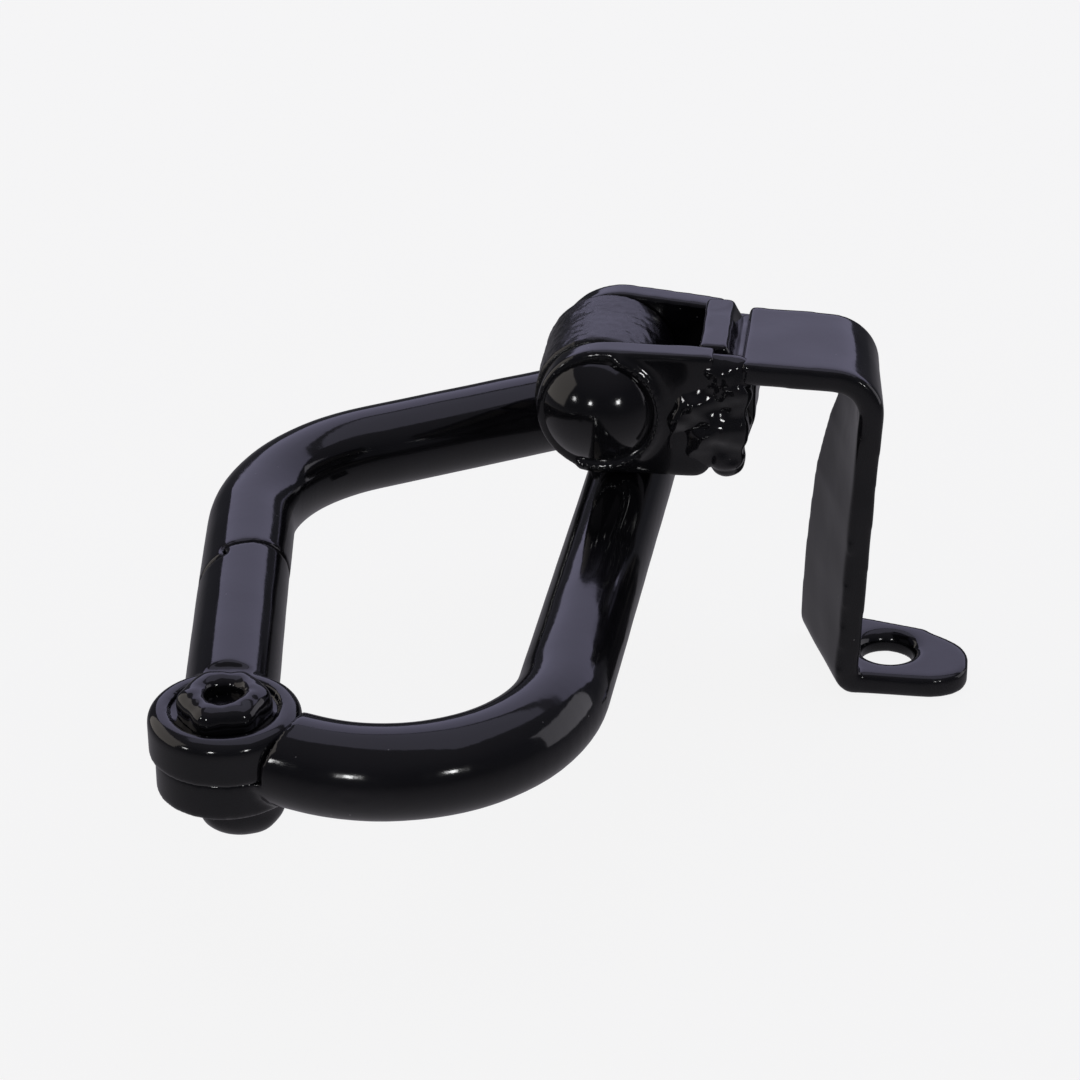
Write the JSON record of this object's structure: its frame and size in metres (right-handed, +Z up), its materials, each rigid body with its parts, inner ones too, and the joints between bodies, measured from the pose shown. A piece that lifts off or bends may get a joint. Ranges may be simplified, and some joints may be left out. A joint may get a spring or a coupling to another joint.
{
  "type": "trailer coupler lock",
  "caption": "Hinged steel lock for a trailer coupler: a round-bar loop closed by a bolted swing gate, pivoted in a riveted fork on a bent strap with a holed tab.",
  "frame": {"origin": "centre of the bolt hole in the strap's tab, on the tab's underside", "axes": "+Z up, along the bolt hole's axis; +X from the fork's rivet towards the tab; +Y along the rivet, away from its near head"},
  "size_m": [0.1422, 0.1537, 0.07],
  "materials": {
    "gloss_black_paint": "thick gloss enamel on steel",
    "rough_black_paint": "gloss enamel over rough, scaled steel",
    "weld_black_paint": "gloss enamel over weld beads"
  },
  "bodies": {
    "bracket": {"cheek_near": "gloss_black_paint", "cheek_far": "gloss_black_paint", "bridge_block": "gloss_black_paint", "cheek_weld_near": "weld_black_paint", "cheek_weld_far": "weld_black_paint", "pivot_rivet": "gloss_black_paint", "strap_arm": "gloss_black_paint", "strap_weld": "weld_black_paint"},
    "loop": {"loop_bar": "gloss_black_paint", "pivot_barrel": "rough_black_paint", "barrel_weld_left": "weld_black_paint", "barrel_weld_right": "weld_black_paint", "gate_bolt": "gloss_black_paint", "gate_nut": "gloss_black_paint"},
    "gate": {"gate_bar": "gloss_black_paint"}
  },
  "joints": [
    {"name": "loop_swing", "type": "hinge", "parent": "bracket", "child": "loop", "pos_m": [-0.0555, 0.0032, 0.0575], "axis": [0, 1, 0], "range_deg": [0, 170]},
    {"name": "gate_swing", "type": "hinge", "parent": "loop", "child": "gate", "pos_m": [-0.1083, -0.1004, 0.0367], "axis": [0, 0, -1], "range_deg": [0, 40]}
  ]
}
